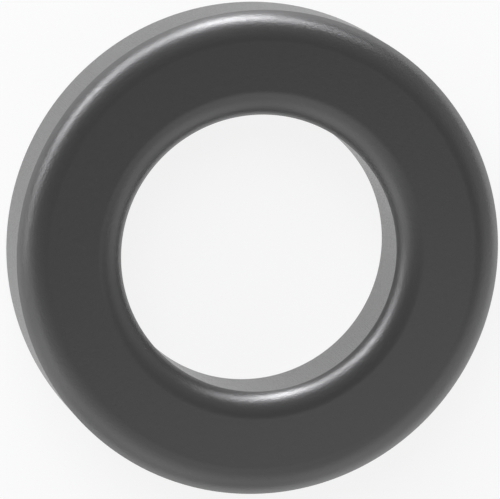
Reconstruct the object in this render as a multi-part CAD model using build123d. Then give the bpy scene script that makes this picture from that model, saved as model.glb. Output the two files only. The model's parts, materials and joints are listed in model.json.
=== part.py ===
from build123d import *
import os
from math import cos, radians

# Ferrite toroid core: one pressed and sintered ring, lying flat.
# Millimetres. The origin is the centre of the lower face and +Z is the ring's axis.
# Each face runs into the walls over a wide shoulder. The press punches form the shoulders and
# the die forms the walls, so a shoulder isn't tangent to its wall: it meets it in a visible edge.

# Ring
outer_diameter = 61.0
bore_diameter = 34.9
height = 12.7

# Shoulders, tangent to the faces; the break angle is the turn left at the wall, in degrees
outer_shoulder_radius = 4.3
outer_break_angle = 30.0
bore_shoulder_radius = 3.8
bore_break_angle = 30.0

outer_radius = outer_diameter / 2
bore_radius = bore_diameter / 2


def upper_shoulder(wall_radius, shoulder_radius, break_angle, side):
    """Arc from the upper face to a wall; side is 1 at the outer wall and -1 at the bore."""
    centre_x = wall_radius - side * shoulder_radius * cos(radians(break_angle))
    centre_y = height / 2 - shoulder_radius
    wall_direction = break_angle if side > 0 else 180 - break_angle
    return CenterArc((centre_x, centre_y), shoulder_radius, 90, wall_direction - 90)


def ring_section():
    """Cross-section of the ring: x is the distance from the axis, y the height over the mid plane."""
    with BuildSketch(Plane.XZ) as section:
        with BuildLine():
            outer_arc = upper_shoulder(outer_radius, outer_shoulder_radius, outer_break_angle, 1)
            bore_arc = upper_shoulder(bore_radius, bore_shoulder_radius, bore_break_angle, -1)
            Line(bore_arc @ 0, outer_arc @ 0)
            mirror(about=Plane.XZ)
            for shoulder in (outer_arc, bore_arc):
                wall_edge = shoulder @ 1
                Line(wall_edge, (wall_edge.X, -wall_edge.Y))
        make_face()
    return section.sketch


def ferrite_core():
    """The ring, turned from its section and stood on its lower face."""
    ring = revolve(ring_section(), axis=Axis.Z)
    return Pos(0, 0, height / 2) * ring


os.makedirs("parts", exist_ok=True)
export_step(ferrite_core(), "parts/ferrite_core.step")
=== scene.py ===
import json
from math import asin, cos, pi, radians, sin, tan

import bmesh
import bpy
from bpy.props import FloatProperty, FloatVectorProperty, IntProperty, PointerProperty
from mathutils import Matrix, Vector


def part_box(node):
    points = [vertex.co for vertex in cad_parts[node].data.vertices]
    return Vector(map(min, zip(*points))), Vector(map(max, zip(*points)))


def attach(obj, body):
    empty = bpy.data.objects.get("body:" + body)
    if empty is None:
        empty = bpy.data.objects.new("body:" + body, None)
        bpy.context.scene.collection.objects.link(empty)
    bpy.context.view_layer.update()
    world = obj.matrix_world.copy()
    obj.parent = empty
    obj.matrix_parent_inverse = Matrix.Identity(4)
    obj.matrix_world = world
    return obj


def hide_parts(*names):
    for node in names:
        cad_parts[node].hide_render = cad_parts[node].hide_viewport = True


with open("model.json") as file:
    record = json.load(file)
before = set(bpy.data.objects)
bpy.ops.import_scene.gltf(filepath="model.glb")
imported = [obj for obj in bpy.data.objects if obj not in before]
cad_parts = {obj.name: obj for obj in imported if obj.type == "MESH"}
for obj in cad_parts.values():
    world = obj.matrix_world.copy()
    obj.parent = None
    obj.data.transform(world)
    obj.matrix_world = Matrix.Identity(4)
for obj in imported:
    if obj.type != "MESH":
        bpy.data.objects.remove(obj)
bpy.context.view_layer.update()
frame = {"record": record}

bl_info = {
    "name": "Ferrite Toroid Core",
    "version": (1, 0, 0),
    "blender": (4, 5, 0),
    "location": "3D Viewport > Sidebar > Ferrite core",
    "description": "A pressed and sintered ferrite ring core on a pale studio floor",
    "category": "Object",
}

MM = 0.001
CORE_NODE = "ferrite_core"
CORE_BODY = "root"
# vertices nearer than this are one
MERGE_DISTANCE = 0.01 * MM
SENSOR_WIDTH = 36


def mount(name):
    """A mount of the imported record, by its name."""
    return next(entry for entry in frame["record"]["mounts"] if entry["name"] == name)


CORE_LOW, CORE_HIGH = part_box(CORE_NODE)
BORE_DIMS = mount("bore")["dims"]
OUTER_DIMS = mount("outer_wall")["dims"]


def linear(hex_colour):
    """Linear red, green and blue of an sRGB hex colour."""
    channels = [int(hex_colour[place:place + 2], 16) / 255 for place in (1, 3, 5)]
    return [c / 12.92 if c <= 0.04045 else ((c + 0.055) / 1.055) ** 2.4 for c in channels]


def length(name, description, default):
    """A size in metres, shown as a distance."""
    return FloatProperty(name=name, description=description, default=default, unit="LENGTH",
                         subtype="DISTANCE", precision=5)


def angle(name, description, default):
    """An angle that is given in degrees and shown as one."""
    return FloatProperty(name=name, description=description, default=radians(default), subtype="ANGLE")


def colour(name, description, default):
    """A colour that is given as an sRGB hex value."""
    return FloatVectorProperty(name=name, description=description, default=linear(default),
                               subtype="COLOR", min=0, max=1)


class CoreSizes(bpy.types.PropertyGroup):
    outer_radius: length("Outer radius", "From the axis to the outer wall", CORE_HIGH.x)
    bore_radius: length("Bore radius", "From the axis to the bore's wall", BORE_DIMS["r_mm"] * MM)
    height: length("Height", "From the lower face to the upper face", CORE_HIGH.z - CORE_LOW.z)
    outer_wall: length("Outer wall", "Straight height of the outer wall", OUTER_DIMS["length_mm"] * MM)
    bore_wall: length("Bore wall", "Straight height of the bore's wall", BORE_DIMS["length_mm"] * MM)
    outer_shoulder: length("Outer shoulder", "Radius from a face to the outer wall", 4.3 * MM)
    bore_shoulder: length("Bore shoulder", "Radius from a face to the bore's wall", 3.8 * MM)
    turn_steps: IntProperty(name="Turn steps", description="Faces once round the axis", default=240)
    shoulder_steps: IntProperty(name="Shoulder steps", description="Faces along one shoulder", default=14)


class CoreFinish(bpy.types.PropertyGroup):
    body: colour("Ferrite", "Colour of the sintered ferrite", "#2D2D2D")
    # real granules are about 0.1 mm wide, too fine to show at this size, so they are drawn twice as wide
    granule: length("Granule", "Width of one granule of the pressed powder", 0.2 * MM)
    granule_height: length("Granule height", "How far the granules stand out of the skin", 0.021 * MM)
    packing: length("Packing", "Width of a denser or looser patch of powder", 0.7 * MM)
    packing_height: length("Packing height", "How far the patches rise and fall", 0.014 * MM)
    pore_spacing: length("Pore spacing", "Distance from one open pore to the next", 1.3 * MM)
    pore_depth: length("Pore depth", "Depth of an open pore", 0.04 * MM)
    die_mark: length("Die mark", "Width of one mark that the die leaves down a wall", 0.16 * MM)
    die_mark_depth: length("Die mark depth", "Depth of one mark down a wall", 0.08 * MM)
    roughness: FloatProperty(name="Roughness", description="Roughness of the tumbled skin", default=0.315)
    ior: FloatProperty(name="IOR", description="Index of refraction of dense ferrite", default=2.4)


class StudioSetup(bpy.types.PropertyGroup):
    lean: angle("Lean", "How far the view leans off the ring's axis", 14.19)
    lean_towards: angle("Lean towards", "Direction of the lean, anticlockwise from +X", 140.2)
    distance: length("Distance", "From the camera to the ring", 0.8235)
    focal_length: FloatProperty(name="Focal length", description="In millimetres, on a 36 mm sensor",
                                default=476.5)
    aim_right: length("Aim right", "From the axis to the image's centre, rightwards", -1.12 * MM)
    aim_up: length("Aim up", "From the axis to the image's centre, upwards", 0.47 * MM)
    aim_height: length("Aim height", "Height of the point on the axis that the aim starts from",
                       10.55 * MM)
    floor: colour("Floor", "Colour of the matt floor", "#F6F6F6")


def select_vertices(test):
    """In edit mode, selects the vertices whose place passes a test."""
    bpy.ops.mesh.select_all(action="DESELECT")
    mesh = bmesh.from_edit_mesh(bpy.context.object.data)
    for vertex in mesh.verts:
        if test(vertex.co):
            vertex.select = True
    mesh.select_flush_mode()
    bmesh.update_edit_mesh(bpy.context.object.data)


def extrude_by(offset):
    """Extrudes the selected vertex into an edge."""
    bpy.ops.mesh.extrude_region_move(TRANSFORM_OT_translate={"value": offset})


def sweep_shoulder(centre_x, centre_z, turn, steps):
    """Sweeps the selected vertex clockwise about a shoulder's centre, seen from the front."""
    bpy.ops.mesh.spin(steps=steps, angle=-turn, center=(centre_x, 0, centre_z), axis=(0, 1, 0))


def shoulder_break(radius, drop):
    """Angle left between a shoulder and its wall, for a shoulder that ends a drop below its face."""
    return asin(1 - drop / radius)


def draw_section(sizes):
    """Draws the ring's outline in edit mode, clockwise from the upper face, as one closed chain."""
    outer_drop = (sizes.height - sizes.outer_wall) / 2
    bore_drop = (sizes.height - sizes.bore_wall) / 2
    outer_break = shoulder_break(sizes.outer_shoulder, outer_drop)
    bore_break = shoulder_break(sizes.bore_shoulder, bore_drop)
    outer_x = sizes.outer_radius - sizes.outer_shoulder * cos(outer_break)
    bore_x = sizes.bore_radius + sizes.bore_shoulder * cos(bore_break)
    face_width = outer_x - bore_x
    outer_turn = pi / 2 - outer_break
    bore_turn = pi / 2 - bore_break
    steps = sizes.shoulder_steps

    bpy.ops.mesh.primitive_plane_add(size=face_width, location=((outer_x + bore_x) / 2, 0, sizes.height))
    bpy.ops.object.transform_apply(location=True, rotation=True, scale=True)
    bpy.ops.object.mode_set(mode="EDIT")
    bpy.ops.mesh.select_all(action="SELECT")
    bpy.ops.transform.resize(value=(1, 0, 1))
    bpy.ops.mesh.remove_doubles(threshold=MERGE_DISTANCE)
    select_vertices(lambda place: place.x > outer_x - MERGE_DISTANCE)

    sweep_shoulder(outer_x, sizes.height - sizes.outer_shoulder, outer_turn, steps)
    extrude_by((0, 0, -sizes.outer_wall))
    sweep_shoulder(outer_x, sizes.outer_shoulder, outer_turn, steps)
    extrude_by((-face_width, 0, 0))
    sweep_shoulder(bore_x, sizes.bore_shoulder, bore_turn, steps)
    extrude_by((0, 0, sizes.bore_wall))
    sweep_shoulder(bore_x, sizes.height - sizes.bore_shoulder, bore_turn, steps)


def finish_with(piece, kind, **settings):
    """Adds one modifier with its settings and applies it."""
    modifier = piece.modifiers.new(kind.title(), kind)
    for name, value in settings.items():
        setattr(modifier, name, value)
    bpy.ops.object.modifier_apply(modifier=modifier.name)


class FERRITE_OT_pressed_core(bpy.types.Operator):
    """Models the ring as a section swept about its axis, with a plain edge along each shoulder"""
    bl_idname = "ferrite.pressed_core"
    bl_label = "Pressed core"

    def execute(self, context):
        sizes = context.scene.core_sizes
        bpy.ops.object.select_all(action="DESELECT")
        draw_section(sizes)
        bpy.ops.mesh.select_all(action="SELECT")
        bpy.ops.mesh.remove_doubles(threshold=MERGE_DISTANCE)
        bpy.ops.mesh.select_all(action="SELECT")
        bpy.ops.mesh.spin(steps=sizes.turn_steps, angle=2 * pi, center=(0, 0, 0), axis=(0, 0, 1))
        bpy.ops.mesh.select_all(action="SELECT")
        bpy.ops.mesh.remove_doubles(threshold=MERGE_DISTANCE)
        bpy.ops.mesh.normals_make_consistent(inside=False)
        bpy.ops.object.mode_set(mode="OBJECT")
        core = context.object
        core.name = core.data.name = "pressed_ferrite_core"
        bpy.ops.object.shade_smooth_by_angle(angle=radians(20))
        finish_with(core, "WEIGHTED_NORMAL", mode="FACE_AREA", weight=50, keep_sharp=True)
        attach(core, CORE_BODY)
        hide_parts(CORE_NODE)
        return {"FINISHED"}


def add_node(tree, kind, inputs=None, links=None, **settings):
    """Adds a node with its settings, its input values and its incoming links."""
    node = tree.nodes.new(kind)
    for name, value in settings.items():
        setattr(node, name, value)
    for name, value in (inputs or {}).items():
        node.inputs[name].default_value = value
    for name, source in (links or {}).items():
        tree.links.new(source, node.inputs[name])
    return node


def new_material(name):
    """A material with an empty node tree and its output node."""
    material = bpy.data.materials.new(name)
    material.use_nodes = True
    material.node_tree.nodes.clear()
    return material, add_node(material.node_tree, "ShaderNodeOutputMaterial")


# a pore's reach from the middle of its cell, as a share of the cell, the draw that a cell has to
# pass to hold a pore, and the painted shade: what the pore adds to the brightness of the colour
PORE_REACH = 0.07
PORE_DRAW = 0.84
PORE_PAINTED_SHADE = -0.5
# the scale of the die marks' noise along the axis, which draws each mark out
DIE_MARK_STRETCH = 0.03
# the normal's rise over which the walls' finish ends, and over which the pressed faces' begins
WALL_RISE = (0.2, 0.4)
FACE_RISE = (0.96, 1.0)
# what the walls add to the shoulders' bump, as a multiple of it, and the share that the faces keep
WALL_COARSENESS = 5.0
FACE_COARSENESS = 0.4
# the brightness where the patches' noise is 0 and where it is 1, and what roughness loses or gains
# where the granules' is; both stay near their middle, so the spread that shows is much smaller
PATCH_TONE = (0.9, 1.1)
ROUGHNESS_SPREAD = 0.05


def ferrite_material(finish):
    """Manganese-zinc ferrite, pressed from granulated powder, sintered and tumbled.
    The eye sees a dense dark grey ceramic with a satin skin: a faint speckle from the powder's
    granules in every highlight, a few open pore holes darkened with painted shade, and fine marks
    where the die rubbed the walls."""
    material, output = new_material("ferrite_sintered_tumbled")
    tree = material.node_tree
    place = add_node(tree, "ShaderNodeTexCoord")
    granules = add_node(tree, "ShaderNodeTexNoise", {"Scale": 1 / finish.granule, "Detail": 1.0},
                        {"Vector": place.outputs["Object"]})
    packing = add_node(tree, "ShaderNodeTexNoise", {"Scale": 1 / finish.packing, "Detail": 2.0},
                       {"Vector": place.outputs["Object"]})

    # each pore: a small dip at the middle of about one cell in six, also painted darker there as shade
    cells = add_node(tree, "ShaderNodeTexVoronoi", {"Scale": 1 / finish.pore_spacing},
                     {"Vector": place.outputs["Object"]})
    dip = add_node(tree, "ShaderNodeMapRange", {"From Max": PORE_REACH, "To Min": 1.0, "To Max": 0.0},
                   {"Value": cells.outputs["Distance"]}, interpolation_type="SMOOTHSTEP")
    lot = add_node(tree, "ShaderNodeSeparateColor", links={"Color": cells.outputs["Color"]})
    drawn = add_node(tree, "ShaderNodeMath", {1: PORE_DRAW}, {0: lot.outputs["Red"]},
                     operation="GREATER_THAN")
    pore_dips_and_painted_shade = add_node(tree, "ShaderNodeMath", links={0: dip.outputs["Result"], 1: drawn.outputs[0]},
                     operation="MULTIPLY")

    # die marks: noise drawn out along the axis, on the straight walls alone
    drawn_out = add_node(tree, "ShaderNodeMapping", {"Scale": (1, 1, DIE_MARK_STRETCH)},
                         {"Vector": place.outputs["Object"]})
    streaks = add_node(tree, "ShaderNodeTexNoise", {"Scale": 1 / finish.die_mark, "Detail": 2.0},
                       {"Vector": drawn_out.outputs["Vector"]})
    facing = add_node(tree, "ShaderNodeSeparateXYZ", links={"Vector": place.outputs["Normal"]})
    slant = add_node(tree, "ShaderNodeMath", links={0: facing.outputs["Z"]}, operation="ABSOLUTE")
    on_wall = add_node(tree, "ShaderNodeMapRange",
                       {"From Min": WALL_RISE[0], "From Max": WALL_RISE[1], "To Min": 1.0, "To Max": 0.0},
                       {"Value": slant.outputs[0]})
    marks = add_node(tree, "ShaderNodeMath", links={0: streaks.outputs["Fac"],
                                                    1: on_wall.outputs["Result"]},
                     operation="MULTIPLY")

    # the flat faces are drawn smoother than the shoulders, and the walls rougher, after the speckle in
    # the photograph, which shows the walls at a grazing angle only
    pressed = add_node(tree, "ShaderNodeMapRange",
                       {"From Min": FACE_RISE[0], "From Max": FACE_RISE[1], "To Min": 1.0,
                        "To Max": FACE_COARSENESS},
                       {"Value": slant.outputs[0]})
    coarseness = add_node(tree, "ShaderNodeMath", {1: WALL_COARSENESS},
                          {0: on_wall.outputs["Result"], 2: pressed.outputs["Result"]},
                          operation="MULTIPLY_ADD")

    # the skin's height in metres, layer on layer, with the grain's mean height at zero
    middle = (finish.granule_height + finish.packing_height) / 2
    grains = add_node(tree, "ShaderNodeMath", {1: finish.granule_height, 2: -middle},
                      {0: granules.outputs["Fac"]}, operation="MULTIPLY_ADD")
    patches = add_node(tree, "ShaderNodeMath", {1: finish.packing_height},
                       {0: packing.outputs["Fac"], 2: grains.outputs[0]}, operation="MULTIPLY_ADD")
    skin = add_node(tree, "ShaderNodeMath", links={0: patches.outputs[0],
                                                   1: coarseness.outputs[0]},
                    operation="MULTIPLY")
    for layer, height in ((marks.outputs[0], finish.die_mark_depth),
                          (pore_dips_and_painted_shade.outputs[0], -finish.pore_depth)):
        skin = add_node(tree, "ShaderNodeMath", {1: height}, {0: layer, 2: skin.outputs[0]},
                        operation="MULTIPLY_ADD")
    relief = add_node(tree, "ShaderNodeBump", {"Strength": 1.0, "Distance": 1.0},
                      {"Height": skin.outputs[0]})

    tone = add_node(tree, "ShaderNodeMapRange", {"To Min": PATCH_TONE[0], "To Max": PATCH_TONE[1]},
                    {"Value": packing.outputs["Fac"]})
    # painted shade: the colour darkens at the middle of each pore, as shade would in its hollow
    tone_and_painted_pore_shade = add_node(tree, "ShaderNodeMath", {1: PORE_PAINTED_SHADE},
                     {0: pore_dips_and_painted_shade.outputs[0], 2: tone.outputs["Result"]}, operation="MULTIPLY_ADD")
    body = add_node(tree, "ShaderNodeVectorMath", {0: finish.body}, {1: tone_and_painted_pore_shade.outputs[0]},
                    operation="MULTIPLY")
    rough = add_node(tree, "ShaderNodeMapRange",
                     {"To Min": finish.roughness - ROUGHNESS_SPREAD,
                      "To Max": finish.roughness + ROUGHNESS_SPREAD},
                     {"Value": granules.outputs["Fac"]})
    shader = add_node(tree, "ShaderNodeBsdfPrincipled", {"IOR": finish.ior},
                      {"Base Color": body.outputs[0], "Roughness": rough.outputs["Result"],
                       "Normal": relief.outputs["Normal"]})
    tree.links.new(shader.outputs["BSDF"], output.inputs["Surface"])
    return material


class FERRITE_OT_sintered_finish(bpy.types.Operator):
    """Gives the ring its sintered and tumbled ferrite finish"""
    bl_idname = "ferrite.sintered_finish"
    bl_label = "Sintered finish"

    def execute(self, context):
        core = bpy.data.objects["pressed_ferrite_core"]
        core.data.materials.clear()
        core.data.materials.append(ferrite_material(context.scene.core_finish))
        return {"FINISHED"}


FLOOR_RADIUS = 3.0
# keeps the floor just clear of the ring's lower face
FLOOR_DROP = 0.02 * MM
# the share of plain white in the floor as the camera sees it, and as reflections see it near the ring
# and far from it, which paints a pool of light around the ring that reflections show; the rest is lit
# paper
SEEN_WHITE = 0.85
PAINTED_POOL_NEAR_WHITE = 0.93
PAINTED_POOL_FAR_WHITE = 0.4
PAINTED_POOL_NEAR_REACH = 35 * MM
PAINTED_POOL_FAR_REACH = 80 * MM


def floor_material(floor_colour):
    """Matt white paper. The camera sees it near white, and it keeps the ring's shadow.
    Reflections see it near white around the ring and dimmer further out: a painted pool of light."""
    material, output = new_material("floor_matt_paper")
    tree = material.node_tree
    rays = add_node(tree, "ShaderNodeLightPath")
    place = add_node(tree, "ShaderNodeTexCoord")
    reach = add_node(tree, "ShaderNodeVectorMath", links={0: place.outputs["Object"]},
                     operation="LENGTH")
    # painted light: a pool of white around the ring, fading outwards, which only reflections see
    painted_light_pool = add_node(tree, "ShaderNodeMapRange",
                    {"From Min": PAINTED_POOL_NEAR_REACH, "From Max": PAINTED_POOL_FAR_REACH, "To Min": PAINTED_POOL_NEAR_WHITE,
                     "To Max": PAINTED_POOL_FAR_WHITE},
                    {"Value": reach.outputs["Value"]})
    reflected_painted_pool = add_node(tree, "ShaderNodeMath", links={0: rays.outputs["Is Glossy Ray"],
                                                        1: painted_light_pool.outputs["Result"]},
                         operation="MULTIPLY")
    white_share_and_painted_pool = add_node(tree, "ShaderNodeMath", {1: SEEN_WHITE},
                     {0: rays.outputs["Is Camera Ray"], 2: reflected_painted_pool.outputs[0]},
                     operation="MULTIPLY_ADD")
    paper = add_node(tree, "ShaderNodeBsdfDiffuse", {"Color": (*floor_colour, 1)})
    white = add_node(tree, "ShaderNodeEmission", {"Strength": 1.0})
    blend = add_node(tree, "ShaderNodeMixShader", links={0: white_share_and_painted_pool.outputs[0], 1: paper.outputs[0],
                                                         2: white.outputs[0]})
    tree.links.new(blend.outputs[0], output.inputs["Surface"])
    return material


def towards(azimuth, elevation):
    """Direction at an azimuth, anticlockwise from +X, and an elevation, both in degrees."""
    return Vector((cos(radians(elevation)) * cos(radians(azimuth)),
                   cos(radians(elevation)) * sin(radians(azimuth)),
                   sin(radians(elevation))))


# lit areas of the tent: azimuth, elevation and reach in degrees, and brightness
# these and the lamps' places, sizes and strengths go back to fits to the photograph's shading, and
# were then rounded and changed
TENT_GLOWS = ((200, 12, 42, 0.6), (240, 12, 42, 0.33), (240, 42, 42, 0.3), (280, 12, 42, 0.25),
              (280, 42, 42, 0.2), (320, 12, 42, 0.5), (0, 12, 42, 0.25), (40, 38, 45, 0.1))
TENT_LEVEL = 0.13


def light_tent():
    """The world: a dim tent with a few softly lit areas, on the sides away from the strong lamps.
    The camera itself sees plain white behind the floor."""
    world = bpy.data.worlds.new("light_tent")
    world.use_nodes = True
    tree = world.node_tree
    tree.nodes.clear()
    output = add_node(tree, "ShaderNodeOutputWorld")
    place = add_node(tree, "ShaderNodeTexCoord")
    rays = add_node(tree, "ShaderNodeLightPath")
    level = add_node(tree, "ShaderNodeMath", {0: TENT_LEVEL, 1: 0.0}, operation="ADD")
    for azimuth, elevation, reach, brightness in TENT_GLOWS:
        nearness = add_node(tree, "ShaderNodeVectorMath", {1: towards(azimuth, elevation)},
                            {0: place.outputs["Generated"]}, operation="DOT_PRODUCT")
        glow = add_node(tree, "ShaderNodeMapRange",
                        {"From Min": cos(radians(reach)), "To Max": brightness},
                        {"Value": nearness.outputs["Value"]}, interpolation_type="SMOOTHSTEP")
        level = add_node(tree, "ShaderNodeMath", links={0: glow.outputs["Result"],
                                                        1: level.outputs[0]}, operation="ADD")
    seen = add_node(tree, "ShaderNodeMath", links={0: rays.outputs["Is Camera Ray"],
                                                   1: level.outputs[0]}, operation="MAXIMUM")
    tent = add_node(tree, "ShaderNodeBackground", links={"Strength": seen.outputs[0]})
    tree.links.new(tent.outputs[0], output.inputs["Surface"])
    bpy.context.scene.world = world


# white with a trace of blue
LAMP_COLOUR = linear("#FCFCFF")
FAR_LAMP = 1.2
NEAR_LAMP = 0.3


def softbox(name, azimuth, elevation, across, up, radiance, distance=FAR_LAMP, in_reflections=True):
    """A rectangular lamp that faces the ring, with its half angles across and up in degrees.
    A mirror shows it at its radiance, where the floor's white is 1."""
    outwards = towards(azimuth, elevation)
    bpy.ops.object.light_add(type="AREA", location=outwards * distance,
                             rotation=outwards.to_track_quat("Z", "Y").to_euler())
    lamp = bpy.context.object
    lamp.name = lamp.data.name = name
    lamp.data.shape = "RECTANGLE"
    lamp.data.size = 2 * distance * tan(radians(across))
    lamp.data.size_y = 2 * distance * tan(radians(up))
    lamp.data.color = LAMP_COLOUR
    lamp.data.energy = radiance * pi * lamp.data.size * lamp.data.size_y
    lamp.visible_glossy = in_reflections
    lamp.visible_camera = False


class FERRITE_OT_studio(bpy.types.Operator):
    """Sets the pale floor, the soft lights and the camera"""
    bl_idname = "ferrite.studio"
    bl_label = "Studio"

    def execute(self, context):
        setup = context.scene.studio_setup
        bpy.ops.object.select_all(action="DESELECT")
        bpy.ops.mesh.primitive_circle_add(vertices=128, radius=FLOOR_RADIUS, fill_type="NGON",
                                          location=(0, 0, -FLOOR_DROP))
        floor = context.object
        floor.name = "floor"
        bpy.ops.object.transform_apply(location=True, rotation=True, scale=True)
        floor.data.materials.append(floor_material(setup.floor))
        light_tent()
        softbox("key_head", 90, 11, 9, 3, 25.0)
        softbox("key_right", 75, 18, 9, 3, 8.6)
        softbox("key_left", 111, 18, 15, 3, 10.0)
        softbox("strip_back", 138, 23, 10, 2.5, 14.5)
        softbox("strip_left", 156, 22, 10, 4, 3.5)
        softbox("strip_side", 174, 18, 14, 3, 2.3)
        softbox("strip_right", 60, 21, 9, 5, 2.1)
        softbox("face_panel", 305, 68, 14, 7, 0.29, distance=NEAR_LAMP)
        softbox("face_low", 320, 45, 12, 12, 0.15, distance=NEAR_LAMP)
        softbox("floor_fill", 115, 48, 20, 20, 3.4, in_reflections=False)
        self.add_camera(context, setup)
        context.scene.view_settings.view_transform = "Standard"
        return {"FINISHED"}

    def add_camera(self, context, setup):
        backwards = Vector((sin(setup.lean) * cos(setup.lean_towards),
                            sin(setup.lean) * sin(setup.lean_towards),
                            cos(setup.lean)))
        turn = Vector((0, 0, 1)).rotation_difference(backwards)
        aim = Vector((0, 0, setup.aim_height)) + turn @ Vector((setup.aim_right, setup.aim_up, 0))
        bpy.ops.object.camera_add(location=aim + backwards * setup.distance,
                                  rotation=turn.to_euler())
        camera = context.object
        camera.data.lens = setup.focal_length
        camera.data.sensor_width = SENSOR_WIDTH
        camera.data.clip_end = 10
        context.scene.camera = camera


class FERRITE_PT_core(bpy.types.Panel):
    """Lists the steps of making the ring core"""
    bl_label = "Ferrite core"
    bl_space_type = "VIEW_3D"
    bl_region_type = "UI"
    bl_category = "Ferrite core"

    def draw(self, context):
        for step in STEPS:
            self.layout.operator(step.bl_idname)


STEPS = (FERRITE_OT_pressed_core, FERRITE_OT_sintered_finish, FERRITE_OT_studio)
GROUPS = {"core_sizes": CoreSizes, "core_finish": CoreFinish, "studio_setup": StudioSetup}


def register():
    for group in GROUPS.values():
        bpy.utils.register_class(group)
    for name, group in GROUPS.items():
        setattr(bpy.types.Scene, name, PointerProperty(type=group))
    for step in (*STEPS, FERRITE_PT_core):
        bpy.utils.register_class(step)


def unregister():
    for step in (FERRITE_PT_core, *reversed(STEPS)):
        bpy.utils.unregister_class(step)
    for name, group in GROUPS.items():
        delattr(bpy.types.Scene, name)
        bpy.utils.unregister_class(group)


def main():
    register()
    bpy.ops.ferrite.pressed_core()
    bpy.ops.ferrite.sintered_finish()
    bpy.ops.ferrite.studio()


if __name__ == "__main__":
    main()
